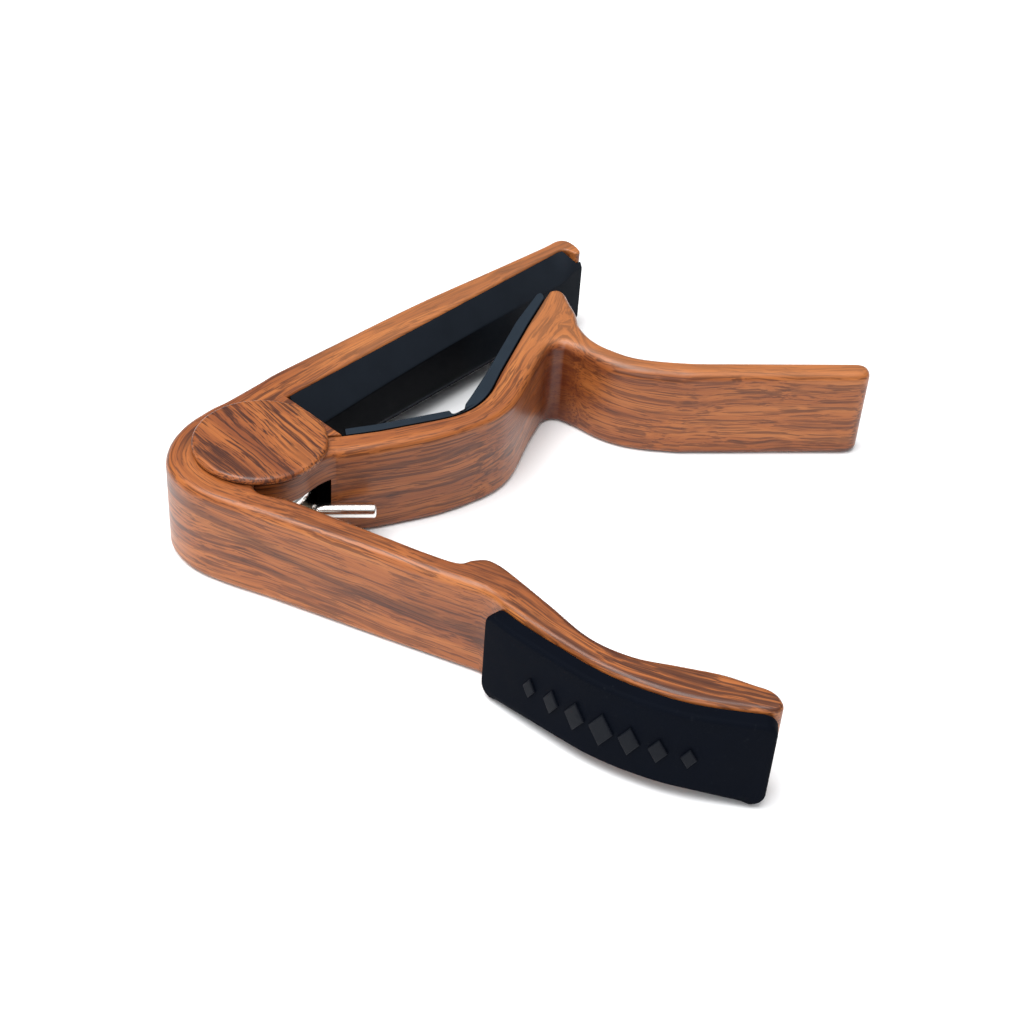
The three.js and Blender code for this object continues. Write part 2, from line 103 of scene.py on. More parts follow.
# String pad; its flank is (off the bar, height), along the bar and where it fills out by the lip
PAD_START = 0.5
PAD_END = 66.1
PAD_FLANK = [(0.2, 15.6), (1.4, 14.17), (2.6, 12.73), (4.8, 10.1)]
PAD_FULL = [(0.2, 15.6), (1.45, 15.35), (2.75, 14.5), (4.8, 10.5)]
PAD_OFF = 0.2
CROWN_LOW = 3.4
CROWN_LOW_AT = 0.7
CROWN_HOLLOW = 1.8
CROWN_CORNER = 0.35
TIP_START = 38
TIP_FULL = 45

# Colours, linear
WOOD_DEEP = (0.19, 0.049, 0.013)
WOOD_MID = (0.27, 0.076, 0.018)
WOOD_WARM = (0.35, 0.105, 0.024)
WOOD_PALE = (0.42, 0.142, 0.036)
# Painted light on the upper face of the string bar and the jaw's far end
WOOD_PAINTED_LIGHT = (0.66, 0.28, 0.1)
WOOD_VEIN = (0.05, 0.012, 0.0045)
# Painted shade for the jaw's valley, mixed into the wood's colour
WOOD_PAINTED_SHADE = (0.08, 0.011, 0.0015)
PAD_TINT = (0.0085, 0.0115, 0.0165)
# Painted shade for the string pad's crown face and the neck pad's walls
PAD_PAINTED_SHADE_TINT = (0.003, 0.0036, 0.0052)
NECK_TINT = (0.014, 0.021, 0.03)
GRIP_TINT = (0.0022, 0.0033, 0.0064)
# Lighter than the grip's tint, partly a painted sheen for the motif's glossier faces
MOTIF_TINT = (0.0042, 0.0054, 0.0085)
NICKEL_TINT = (0.97, 0.94, 0.9)
STEEL_TINT = (0.62, 0.62, 0.62)


# -------- outlines

def catmull(points, steps):
    """Points on a smooth curve through the given ones, the first left out."""
    found = []
    last = len(points) - 1
    for i in range(last):
        p0 = points[max(i - 1, 0)]
        p1 = points[i]
        p2 = points[i + 1]
        p3 = points[min(i + 2, last)]
        for k in range(1, steps + 1):
            t = k / steps
            found.append(tuple(
                (2 * b - 2 * c + (c - a) * 0.5 + (d - b) * 0.5) * t ** 3
                + (-3 * b + 3 * c - (c - a) - (d - b) * 0.5) * t ** 2
                + (c - a) * 0.5 * t + b
                for a, b, c, d in zip(p0, p1, p2, p3)
            ))
    return found


class Outline:
    """A closed plan outline, with the rounding of its upper and lower edge at each point."""

    def __init__(self, x, y, upper=1.0, lower=1.0):
        self.upper = upper
        self.lower = lower
        self.points = [(x, y)]
        self.rounds = [(upper, lower)]

    def edges(self, upper, lower=None):
        self.upper = upper
        self.lower = self.lower if lower is None else lower
        return self

    def add(self, x, y):
        if math.dist(self.points[-1], (x, y)) > 1e-3:
            self.points.append((x, y))
            self.rounds.append((self.upper, self.lower))
        return self

    def to(self, x, y):
        x0, y0 = self.points[-1]
        count = max(1, math.ceil(math.dist((x0, y0), (x, y)) / POINT_SPACING))
        for k in range(1, count + 1):
            self.add(x0 + (x - x0) * k / count, y0 + (y - y0) * k / count)
        return self

    def quad(self, cx, cy, x, y, steps=8):
        x0, y0 = self.points[-1]
        for k in range(1, steps + 1):
            t = k / steps
            a, b, c = (1 - t) ** 2, 2 * t * (1 - t), t * t
            self.add(a * x0 + b * cx + c * x, a * y0 + b * cy + c * y)
        return self

    def spline(self, points, steps=5):
        for x, y in catmull([self.points[-1], *points], steps):
            self.add(x, y)
        return self

    def arc(self, radius, start, end, steps):
        for k in range(steps + 1):
            angle = math.radians(start + (end - start) * k / steps)
            self.add(radius * math.cos(angle), radius * math.sin(angle))
        return self

    def close(self):
        if math.dist(self.points[0], self.points[-1]) < 1e-3:
            self.points.pop()
            self.rounds.pop()
        return self

    def smoothed_rounds(self):
        """The roundings, evened out along the outline so that they change gently."""
        n = len(self.points)
        place = [0.0]
        for i in range(n):
            place.append(place[-1] + math.dist(self.points[i], self.points[(i + 1) % n]))
        total = place[-1]
        evened = []
        for i in range(n):
            total_weight, upper, lower = 0.0, 0.0, 0.0
            for j in range(n):
                gap = abs(place[i] - place[j])
                gap = min(gap, total - gap)
                if gap < ROUND_REACH:
                    span = 0.5 * (place[j + 1] - place[j - 1] if j else place[1] + total - place[n - 1])
                    weight = (1 - gap / ROUND_REACH) * max(span, 1e-4)
                    total_weight += weight
                    upper += weight * self.rounds[j][0]
                    lower += weight * self.rounds[j][1]
            evened.append((upper / total_weight, lower / total_weight))
        return evened


def bar_point(along, across):
    """A point from its distance along the string bar's inner wall and its distance in front of it."""
    c, s = math.cos(BAR_ANGLE), math.sin(BAR_ANGLE)
    return (BAR_ROOT[0] + along * c + across * s, BAR_ROOT[1] + along * s - across * c)


# -------- meshes

def inward(points):
    """Unit inward direction at each point of a counterclockwise outline, lengthened at corners."""
    n = len(points)
    found = []
    for i in range(n):
        a, b, c = (Vector(points[j % n]) for j in (i - 1, i, i + 1))
        d1 = (b - a).normalized()
        d2 = (c - b).normalized()
        n1 = Vector((-d1.y, d1.x))
        n2 = Vector((-d2.y, d2.x))
        mid = (n1 + n2).normalized()
        found.append(mid / max(mid.dot(n1), 0.6))
    return found


def cap_triangles(ring, spacing):
    """Triangles over the inside of a ring, with a grid of extra points inside it."""
    n = len(ring)
    xs = [p[0] for p in ring]
    ys = [p[1] for p in ring]
    points = [Vector(p) for p in ring]
    near = {}
    for x, y in ring:
        near.setdefault((int(x // spacing), int(y // spacing)), []).append((x, y))
    y = min(ys) + spacing
    row = 0
    while y < max(ys):
        x = min(xs) + spacing * (0.5 if row % 2 else 1)
        while x < max(xs):
            if inside(ring, x, y) and clear(near, spacing, x, y):
                points.append(Vector((x, y)))
            x += spacing
        y += spacing * 0.87
        row += 1
    edges = [(i, (i + 1) % n) for i in range(n)]
    verts, _, faces, origin, _, _ = geometry.delaunay_2d_cdt(points, edges, [], 1, 1e-7)
    return verts, faces, origin


def inside(polygon, x, y):
    """Whether a point lies within a polygon."""
    hit = False
    n = len(polygon)
    for i in range(n):
        x1, y1 = polygon[i]
        x2, y2 = polygon[(i + 1) % n]
        if (y1 > y) != (y2 > y) and x < (x2 - x1) * (y - y1) / (y2 - y1) + x1:
            hit = not hit
    return hit


def clear(near, spacing, x, y):
    """Whether a point keeps its distance from the outline's own points."""
    cx, cy = int(x // spacing), int(y // spacing)
    for i in (cx - 1, cx, cx + 1):
        for j in (cy - 1, cy, cy + 1):
            for px, py in near.get((i, j), ()):
                if (px - x) ** 2 + (py - y) ** 2 < (0.55 * spacing) ** 2:
                    return False
    return True


def skin(bm, rings):
    """Adds the faces between each ring of vertices and the next."""
    n = len(rings[0])
    for low, high in zip(rings, rings[1:]):
        for i in range(n):
            j = (i + 1) % n
            bm.faces.new((low[i], low[j], high[j], high[i]))


def plate(bm, outline, bottom, top, steps=6, spacing=1.7, levels=3, place=None):
    """Adds a flat piece with rounded edges; place maps (x, y, z) to where it goes."""
    place = place or (lambda x, y, z: (x, y, z))
    points = outline.points
    rounds = outline.smoothed_rounds()
    way = inward(points)
    rows = []
    for k in range(steps + 1):
        angle = 0.5 * math.pi * k / steps
        tuck = 1 - math.sin(angle)
        rise = 1 - math.cos(angle)
        rows.append([
            (p[0] + w[0] * r[1] * tuck, p[1] + w[1] * r[1] * tuck, bottom + r[1] * rise)
            for p, w, r in zip(points, way, rounds)
        ])
    for k in range(1, levels):
        rows.append([
            (p[0], p[1], (bottom + r[1]) + (top - r[0] - bottom - r[1]) * k / levels)
            for p, r in zip(points, rounds)
        ])
    for k in range(steps + 1):
        angle = 0.5 * math.pi * k / steps
        tuck = 1 - math.cos(angle)
        drop = 1 - math.sin(angle)
        rows.append([
            (p[0] + w[0] * r[0] * tuck, p[1] + w[1] * r[0] * tuck, top - r[0] * drop)
            for p, w, r in zip(points, way, rounds)
        ])
    made = [[bm.verts.new(place(*c)) for c in row] for row in rows]
    skin(bm, made)
    for ring, row, level, flip in ((made[0], rows[0], bottom, True), (made[-1], rows[-1], top, False)):
        flat = [(c[0], c[1]) for c in row]
        verts, faces, origin = cap_triangles(flat, spacing)
        fresh = []
        for v, who in zip(verts, origin):
            known = [w for w in who if w < len(points)]
            fresh.append(ring[known[0]] if known else bm.verts.new(place(v.x, v.y, level)))
        for face in faces:
            corners = [fresh[i] for i in face]
            if len(set(corners)) < 3:
                continue
            if flip:
                corners.reverse()
            try:
                bm.faces.new(corners)
            except ValueError:
                pass


def lathe(bm, profile, count):
    """Adds a round piece about the pivot axis, from (radius, z) pairs that start and end on it."""
    turn = 2 * math.pi / count
    rings = []
    for radius, z in profile:
        if radius < 1e-6:
            rings.append([bm.verts.new((0, 0, z))])
        else:
            rings.append([
                bm.verts.new((radius * math.cos(turn * k), radius * math.sin(turn * k), z))
                for k in range(count)
            ])
    for low, high in zip(rings, rings[1:]):
        for k in range(count):
            j = (k + 1) % count
            corners = [low[k % len(low)], low[j % len(low)], high[j % len(high)], high[k % len(high)]]
            bm.faces.new(list(dict.fromkeys(corners)))


def rounded_profile(profile):
    """Turns (radius, z, rounding) corners into a profile with round corners."""
    found = []
    last = len(profile) - 1
    for i, (r, z, rounding) in enumerate(profile):
        if rounding <= 0 or i in (0, last):
            found.append((r, z))
            continue
        here = Vector((r, z))
        before = (Vector(profile[i - 1][:2]) - here).normalized() * rounding
        after = (Vector(profile[i + 1][:2]) - here).normalized() * rounding
        for k in range(7):
            t = k / 6
            point = here + before * (1 - t) ** 2 + after * t ** 2
            found.append((point.x, point.y))
    return found


def placed(name, bm):
    """Makes an object from bm and puts it in the scene."""
    mesh = bpy.data.meshes.new(name)
    bm.to_mesh(mesh)
    bm.free()
    obj = bpy.data.objects.new(name, mesh)
    bpy.context.scene.collection.objects.link(obj)
    return obj


def finish_mesh(name, bm, sharp=32, weighted=True):
    """Makes an object in metres from bm in millimetres, smooth with crisp corners."""
    bmesh.ops.remove_doubles(bm, verts=bm.verts, dist=1e-4)
    bmesh.ops.recalc_face_normals(bm, faces=bm.faces)
    for v in bm.verts:
        v.co *= MM
    obj = placed(name, bm)
    shade(obj, sharp, weighted)
    return obj


def shade(obj, sharp=32, weighted=True):
    """Smooth shading, with edges over the sharp angle left crisp."""
    mesh = obj.data
    for polygon in mesh.polygons:
        polygon.use_smooth = True
    mesh.set_sharp_from_angle(angle=math.radians(sharp))
    if weighted:
        soften = obj.modifiers.new("corner shading", "WEIGHTED_NORMAL")
        soften.keep_sharp = True
        soften.weight = 60


def second_material(obj, chosen):
    """Gives the faces chosen() picks, from their centre and normal, the piece's second material: painted
    shade on the castings and pads, the motif's rubber on the grip.
    """
    for polygon in obj.data.polygons:
        x, y, z = polygon.center / MM
        polygon.material_index = 1 if chosen(x, y, z, polygon.normal) else 0


def cutter(name, build):
    """A solid that only cuts."""
    bm = bmesh.new()
    build(bm)
    return finish_mesh(name, bm, weighted=False)


def cut(obj, tools):
    """Cuts the tools out of obj for good, and throws the tools away."""
    obj.modifiers.clear()
    for tool in tools:
        hole = obj.modifiers.new("cut", "BOOLEAN")
        hole.operation = "DIFFERENCE"
        hole.solver = "MANIFOLD"
        hole.object = tool
    bpy.context.view_layer.update()
    graph = bpy.context.evaluated_depsgraph_get()
    mesh = bpy.data.meshes.new_from_object(obj.evaluated_get(graph))
    old = obj.data
    obj.modifiers.clear()
    obj.data = mesh
    mesh.name = obj.name
    bpy.data.meshes.remove(old)
    for tool in tools:
        bpy.data.objects.remove(tool, do_unlink=True)
    shade(obj)


def round_tool(name, radius, low, high, count=96):
    profile = [(0, low), (radius, low), (radius, high), (0, high)]
    return cutter(name, lambda bm: lathe(bm, profile, count))


def box_tool(name, low, high):
    def build(bm):
        bmesh.ops.create_cube(bm, size=1, matrix=Matrix.LocRotScale(
            (Vector(low) + Vector(high)) / 2, None, Vector(high) - Vector(low),
        ))
    return cutter(name, build)


# -------- grain direction

class Spine:
    """A line down the middle of an arm, which the printed grain follows."""

    def __init__(self, points, start=0.0):
        self.points = [points[0], *catmull(points, 6)]
        self.places = [start]
        for a, b in zip(self.points, self.points[1:]):
            self.places.append(self.places[-1] + math.dist(a, b))

    def nearest(self, x, y):
        """How far along the line a point is, and how far to one side of it."""
        best = None
        last = len(self.points) - 2
        for i, (a, b) in enumerate(zip(self.points, self.points[1:])):
            dx, dy = b[0] - a[0], b[1] - a[1]
            length = math.hypot(dx, dy)
            t = ((x - a[0]) * dx + (y - a[1]) * dy) / (length * length)
            low = -1e9 if i == 0 else 0.0
            high = 1e9 if i == last else 1.0
            t = min(max(t, low), high)
            px, py = a[0] + dx * t, a[1] + dy * t
            gap = math.hypot(x - px, y - py)
            if best is None or gap < best[0]:
                side = 1 if (x - a[0]) * dy - (y - a[1]) * dx < 0 else -1
                best = (gap, self.places[i] + t * length, side * gap)
        return best[1], best[2]


def add_grain(obj, at, painted_shade=None):
    """Stores where each vertex lies in the grain: along it, across it and up, in millimetres; and how
    much painted shade it gets.
    """
    mesh = obj.data
    mesh.attributes.new("grain", "FLOAT_VECTOR", "POINT")
    mesh.attributes.new("painted_shade", "FLOAT", "POINT")
    places = [tuple(vertex.co / MM) for vertex in mesh.vertices]
    grain = [value for place in places for value in at(*place)]
    mesh.attributes["grain"].data.foreach_set("vector", grain)
    painted_shades = [painted_shade(*place) if painted_shade else 0.0 for place in places]
    mesh.attributes["painted_shade"].data.foreach_set("value", painted_shades)


def smoothstep(low, high, value):
    """From 0 at low to 1 at high, easing in and out."""
    t = min(max((value - low) / (high - low), 0.0), 1.0)
    return t * t * (3 - 2 * t)


# -------- material kit

class Nodes:
    """Small helper that wires up a material's nodes."""

    def __init__(self, name):
        self.material = bpy.data.materials.new(name)
        self.material.use_nodes = True
        self.tree = self.material.node_tree
        self.tree.nodes.clear()
        self.shader = self.new("ShaderNodeBsdfPrincipled")
        self.new("ShaderNodeOutputMaterial", {"Surface": self.shader.outputs["BSDF"]})

    def put(self, socket, value):
        """Wires another node's output to the socket, or sets its value."""
        if isinstance(value, bpy.types.NodeSocket):
            self.tree.links.new(value, socket)
        elif socket.type == "RGBA":
            socket.default_value = grey(value)
        else:
            socket.default_value = value

    def new(self, kind, inputs=None, **settings):
        node = self.tree.nodes.new(kind)
        for key, value in settings.items():
            setattr(node, key, value)
        for key, value in (inputs or {}).items():
            self.put(node.inputs[key], value)
        return node

    def math(self, operation, a, b=0.0, clamp=False):
        return self.new("ShaderNodeMath", {0: a, 1: b}, operation=operation, use_clamp=clamp).outputs[0]

    def vectors(self, operation, a, b):
        return self.new("ShaderNodeVectorMath", {0: a, 1: b}, operation=operation).outputs[0]

    def span(self, value, start, end, low, high, kind="LINEAR"):
        """Takes start to low and end to high, and holds those beyond."""
        return self.new("ShaderNodeMapRange", {
            "Value": value, "From Min": start, "From Max": end, "To Min": low, "To Max": high,
        }, interpolation_type=kind).outputs[0]

    def split(self, vector):
        return self.new("ShaderNodeSeparateXYZ", {"Vector": vector}).outputs

    def scaled(self, vector, scale, offset=(0, 0, 0)):
        inputs = {"Vector": vector, "Scale": scale, "Location": offset}
        return self.new("ShaderNodeMapping", inputs).outputs[0]

    def noise(self, vector, scale=1.0, detail=2.0, roughness=0.5, output="Fac"):
        return self.new("ShaderNodeTexNoise", {
            "Vector": vector, "Scale": scale, "Detail": detail, "Roughness": roughness,
        }).outputs[output]

    def ramp(self, value, stops):
        node = self.new("ShaderNodeValToRGB", {"Fac": value})
        elements = node.color_ramp.elements
        while len(elements) > 1:
            elements.remove(elements[-1])
        elements[0].position = stops[0][0]
        elements[0].color = grey(stops[0][1])
        for position, colour in stops[1:]:
            elements.new(position).color = grey(colour)
        return node.outputs["Color"]

    def mix(self, factor, a, b):
        return self.new("ShaderNodeMix", {0: factor, 6: a, 7: b}, data_type="RGBA").outputs[2]

    def bump(self, height, strength, distance):
        inputs = {"Height": height, "Strength": strength, "Distance": distance}
        return self.new("ShaderNodeBump", inputs).outputs[0]

    def sway(self, vector, scale, reach):
        """The grain vector pushed sideways, but not along the grain, by slow noise."""
        drift = self.noise(self.scaled(vector, scale), output="Color")
        drift = self.vectors("SUBTRACT", drift, (0.5, 0.5, 0.5))
        drift = self.vectors("MULTIPLY", drift, (0, reach, reach))
        return self.vectors("ADD", vector, drift)

    def dark_band(self, grain, strands, start, end, high, low, half):
        """How much of a dark band sinking from one height to another lies here."""
        along, _, height = self.split(grain)
        middle = self.span(along, start, end, high, low, "SMOOTHSTEP")
        ragged = self.math("MULTIPLY", self.math("SUBTRACT", strands, 0.5), 4.0)
        middle = self.math("ADD", middle, ragged)
        off = self.math("DIVIDE", self.math("SUBTRACT", height, middle), half)
        near = self.math("POWER", 2.718, self.math("MULTIPLY", self.math("MULTIPLY", off, off), -1.0))
        begun = self.span(along, start - 12, start, 0.0, 0.62)
        return self.math("MULTIPLY", near, begun)

    def lean(self, vector, across, up):
        """Slides the pattern along the grain with depth and height, so no seam runs straight up."""
        along, side, height = self.split(vector)
        slide = self.math("ADD", self.math("MULTIPLY", side, across), self.math("MULTIPLY", height, up))
        return self.new("ShaderNodeCombineXYZ", {
            "X": self.math("ADD", along, slide), "Y": side, "Z": height,
        }).outputs[0]

    def upper_face(self, grain, start, end, most):
        """Zero off a casting's upper face; on it, from zero at start along the grain to most at end."""
        along, _, height = self.split(grain)
        far = self.span(along, start, end, 0.0, most)
        high = self.span(height, WIDTH - 0.9, WIDTH - 0.2, 0.0, 1.0)
        return self.math("MULTIPLY", far, high)

    def set(self, **values):
        for key, value in values.items():
            self.put(self.shader.inputs[key.replace("_", " ")], value)

    def here(self):
        """Where the surface point lies in the object."""
        return self.new("ShaderNodeTexCoord").outputs["Object"]


def grey(value):
    """A socket's colour from one grey value or from a colour."""
    if isinstance(value, (int, float)):
        return (value, value, value, 1)
    return (*value[:3], 1)


def srgb(r, g, b):
    """A linear colour from a displayed one, each part 0 to 255."""
    def one(v):
        v /= 255
        return v / 12.92 if v <= 0.04045 else ((v + 0.055) / 1.055) ** 2.4
    return (one(r), one(g), one(b))


def wood_print(name, streaks=1.0, shift=(0, 0, 0), band=None, pale=None):
    """Glossy printed wood film over the castings, its streaks along the stored grain."""
    m = Nodes(name)
    stored = m.new("ShaderNodeAttribute", attribute_name="grain").outputs["Vector"]
    painted_shade = m.new("ShaderNodeAttribute", attribute_name="painted_shade").outputs["Fac"]
    grain = m.scaled(stored, (1, 1, 1), shift)
    flow = m.sway(grain, (0.028, 0.08, 0.08), 5.0)
    flow = m.sway(flow, (0.11, 0.35, 0.35), 0.9)
    flow = m.lean(flow, 1.7, 2.6)

    zone = m.noise(m.scaled(flow, (0.016, 0.13, 0.2)))
    broad = m.noise(m.scaled(flow, (0.02, 0.42, 0.42), (4, 2, 6)), detail=3.0, roughness=0.55)
    strands = m.noise(m.scaled(flow, (0.03, 1.15, 1.15), (7, 3, 1)), detail=3.0, roughness=0.6)
    threads = m.noise(m.scaled(flow, (0.055, 3.1, 3.1), (2, 9, 4)), detail=3.0, roughness=0.62)
    hairs = m.noise(m.scaled(flow, (0.12, 6.0, 6.0), (5, 1, 8)))

    tone = m.math("ADD", m.math("MULTIPLY", broad, 0.6), m.math("MULTIPLY", zone, 0.4))
    base = m.ramp(tone, [
        (0.36, WOOD_DEEP), (0.45, WOOD_MID), (0.54, WOOD_WARM), (0.66, WOOD_PALE),
    ])
    heavy = m.ramp(strands, [(0.38, 1.0), (0.43, 0.7), (0.48, 0.0)])
    light = m.ramp(threads, [(0.4, 1.0), (0.45, 0.6), (0.5, 0.0)])
    fine = m.ramp(hairs, [(0.38, 1.0), (0.52, 0.0)])
    patchy = m.ramp(zone, [(0.4, 1.0), (0.58, 0.3)])
    dark = m.math("MULTIPLY", m.math("MULTIPLY", heavy, patchy), 0.8 * streaks, clamp=True)
    colour = m.mix(dark, base, WOOD_VEIN)
    colour = m.mix(m.math("MULTIPLY", light, 0.7 * streaks, clamp=True), colour, WOOD_VEIN)
    colour = m.mix(m.math("MULTIPLY", fine, 0.3), colour, WOOD_DEEP)
    if band:
        colour = m.mix(m.dark_band(stored, strands, **band), colour, WOOD_VEIN)
        close = m.noise(m.scaled(flow, (0.02, 2.3, 2.3), (3, 3, 3)), detail=3.0, roughness=0.55)
        lines = m.ramp(close, [(0.46, 1.0), (0.53, 0.0)])
        lined = m.math("MULTIPLY", m.upper_face(stored, start=130, end=168, most=0.85), lines)
        colour = m.mix(lined, colour, WOOD_VEIN)
    # pale: painted light that lightens the upper face, growing along the grain
    if pale:
        colour = m.mix(m.upper_face(stored, *pale, most=0.18), colour, WOOD_PAINTED_LIGHT)
    # Painted shade in the jaw's valley, from the stored amount
    colour = m.mix(m.math("MULTIPLY", painted_shade, 0.85), colour, WOOD_PAINTED_SHADE)

    speckle = m.noise(grain, scale=7.0)
    scuff = m.noise(m.scaled(grain, (0.3, 0.6, 0.6)), detail=5.0, roughness=0.6)
    roughness = m.span(scuff, 0.3, 0.7, 0.34, 0.46)
    height = m.math("ADD", m.math("MULTIPLY", light, -0.5), m.math("MULTIPLY", speckle, 0.35))
    m.set(
        Base_Color=colour, Roughness=roughness, Coat_Weight=0.3, Coat_Roughness=0.28, Coat_IOR=1.5,
        Normal=m.bump(height, 0.16, 0.00012),
    )
    m.shader.inputs["Specular IOR Level"].default_value = 0.26
    return m.material


def painted_shade_cavity(name):
    """Painted shade for the unlit inside of the spring room and the hub's bore: near black and dull."""
    m = Nodes(name)
    here = m.here()
    cloud = m.noise(here, scale=400, detail=3.0)
    m.set(Base_Color=m.mix(cloud, (0.0008, 0.0008, 0.0008), (0.0016, 0.0014, 0.0012)), Roughness=0.9,
          Normal=m.bump(cloud, 0.2, 0.00005))
    m.shader.inputs["Specular IOR Level"].default_value = 0.02
    return m.material


def rubber(name, tint, roughness=0.6, level=0.1, end_tint=None):
    """Matt moulded rubber with a fine, slightly mottled skin; end_tint is its tint at the bar's tip,
    where a painted shade tint gives way to it.
    """
    m = Nodes(name)
    here = m.here()
    fine = m.noise(here, scale=5200, roughness=0.6)
    broad = m.noise(here, scale=170, detail=4.0, roughness=0.6)
    dust = m.ramp(m.noise(here, scale=1500), [(0.66, 0.0), (0.78, 1.0)])
    colour = m.mix(broad, tuple(0.75 * c for c in tint), tuple(1.3 * c for c in tint))
    colour = m.mix(m.math("MULTIPLY", dust, 0.08), colour, (0.04, 0.045, 0.05))
    # Towards the bar's tip the painted shade fades into end_tint
    if end_tint:
        tip = m.span(m.split(here)[1], TIP_START * MM, TIP_FULL * MM, 0.0, 1.0)
        colour = m.mix(tip, colour, end_tint)
    rough = m.span(broad, 0.3, 0.7, roughness - 0.05, roughness + 0.07)
    m.set(Base_Color=colour, Roughness=rough, Normal=m.bump(fine, 0.22, 0.00005))
    m.shader.inputs["Specular IOR Level"].default_value = level
    return m.material


def metal(name, tint, roughness):
    """Drawn, plated steel with faint marks along it."""
    m = Nodes(name)
    here = m.here()
    marks = m.noise(m.scaled(here, (900, 3200, 3200)), detail=3.0)
    cloud = m.noise(here, scale=260, detail=3.0)
    colour = m.mix(cloud, tuple(0.86 * c for c in tint), tint)
    rough = m.span(marks, 0.3, 0.7, roughness * 0.75, roughness * 1.4)
    m.set(Base_Color=colour, Metallic=1.0, Roughness=rough, Normal=m.bump(marks, 0.06, 0.00003))
    return m.material


def nylon(name):
    """Natural nylon, slightly clouded."""
    m = Nodes(name)
    here = m.here()
    cloud = m.noise(here, scale=300, detail=4.0)
    colour = m.mix(cloud, srgb(206, 202, 190), srgb(226, 222, 210))
    m.set(Base_Color=colour, Roughness=0.45, Normal=m.bump(cloud, 0.1, 0.00005))
    m.shader.inputs["Subsurface Weight"].default_value = 0.1
    m.shader.inputs["Subsurface Scale"].default_value = 0.001
    return m.material


# -------- castings

def body_outline():
    """String bar with its hooked tip, C-shaped hub and trigger handle, counterclockwise."""
    o = Outline(11.5, 4.25, 0.4, 0.4)
    o.to(*BAR_ROOT)
    o.edges(0.75, 0.9).to(*bar_point(62.6, 0))
    o.edges(0.35, 0.35).to(*bar_point(63.4, 0))
    o.quad(*bar_point(65, 0), *bar_point(65, 1.6))
    o.to(*bar_point(65.1, 2.6))
    o.quad(*bar_point(65.7, 3.3), *bar_point(66.4, 2.5))
    o.quad(*bar_point(67.1, 1.3), *bar_point(67.4, -0.6))
    o.edges(0.8, 0.8).quad(*bar_point(67.6, -2.75), *bar_point(64.9, -2.82), 10)
    back = [bar_point(50, -3.95), bar_point(34, -5.2), bar_point(16, -5.8), bar_point(2, -6.2)]
    o.edges(1.15).spline(back, 9)
    o.edges(1.4, 1.1).spline([
        (-6.7, 11.2), (-9.2, 8.3), (-12.1, 3.6), (-13.3, -1.5), (-12.5, -6.5), (-9.1, -10.8),
        (-4.2, -13.5), (3, -16.1),
    ], 7)
    o.to(20.8, -23.1)
    o.to(34.6, -28.4)
    seat = [SEAT[0], *catmull(SEAT, 10)]
    o.edges(1.0)
    for x, y in seat:
        if x < 71.8:
            o.add(x, y)
    o.edges(0.75, 0.75)
    o.quad(74.5, -47.5, 74.2, -45.8)
    o.quad(73.9, -44, 72, -43)
    o.edges(1.2, 1.0).spline([
        (67, -41), (61, -39.9), (54.9, -38.8), (49.3, -35.8), (44.1, -30.2), (38.6, -24.3),
        (36.4, -22.3), (34.6, -21.5), (32.6, -21.9), (30.6, -22.6), (25.6, -20.7),
    ], 6)
    o.to(13.9, -15.3)
    o.to(8.5, -12.9)
    o.edges(0.9).quad(6, -11.8, 3.4, -11.4)
    o.quad(1, -11.1, 0.5, -9.6)
    o.edges(0.15, 0.15).arc(BORE_RADIUS, -87, -339.8, 72)
    return o.close()


def hub_floor_outline():
    """A low lip inside the hub's bore, from one side of its mouth to the other."""
    start, end, inner = 20, 273, 8
    first = math.radians(start)
    o = Outline(BORE_RADIUS * math.cos(first), BORE_RADIUS * math.sin(first), 0.1, 0.1)
    o.arc(BORE_RADIUS, start, end, 60)
    o.arc(inner, end, start, 60)
    return o.close()


def make_main_body():
    """The body casting, its grain down the bar, round the hub and along the trigger handle."""
    bm = bmesh.new()
    plate(bm, body_outline(), 0, WIDTH)
    plate(bm, hub_floor_outline(), 0, LIP_TOP, steps=2, spacing=1.2, levels=1)
    obj = finish_mesh("body_casting", bm)
    spine = Spine([
        bar_point(68, -0.5), bar_point(50, -1.6), bar_point(34, -2.8), bar_point(16, -3.4),
        bar_point(2, -3.7), bar_point(-6, -3.4), (-7.2, 6.8), (-9.9, 3), (-10.9, -1.2), (-10.5, -5.2),
        (-8, -8.6), (-2.8, -11.9), (6, -15), (17, -19.2), (30, -24.6), (38, -28.2), (44, -33.5),
        (50, -38.5), (57, -42), (66, -44.5), (74, -46),
    ])
    add_grain(obj, lambda x, y, z: (*spine.nearest(x, y), z))
    # The bore's inner wall and lip get painted shade.
    second_material(obj, in_bore)
    return obj


def in_bore(x, y, z, normal):
    """The inner wall of the C-shaped hub and the lip in it."""
    outward = x * normal.x + y * normal.y
    return math.hypot(x, y) < BORE_RADIUS + 0.08 and z < WIDTH - 0.3 and outward < 0.1


def in_spring_room(x, y, z, normal):
    """The drum's slot and the round room behind it."""
    if not SLOT_LOW - 0.05 < z < SLOT_HIGH + 0.05:
        return False
    reach = math.hypot(x, y)
    outward = (x * normal.x + y * normal.y) / max(reach, 0.01)
    on_drum = abs(reach - DRUM_RADIUS) < 0.15 and outward > 0.9
    in_room = reach < SLOT_RADIUS + 0.1
    in_slot = y < 0.05 and x < SLOT_END + 0.05 and reach < SLOT_END + 3
    if on_drum or not (in_room or in_slot):
        return False
    return in_room or abs(normal.z) > 0.7 or normal.x < -0.9 or (y > -0.05 and normal.y < -0.9)


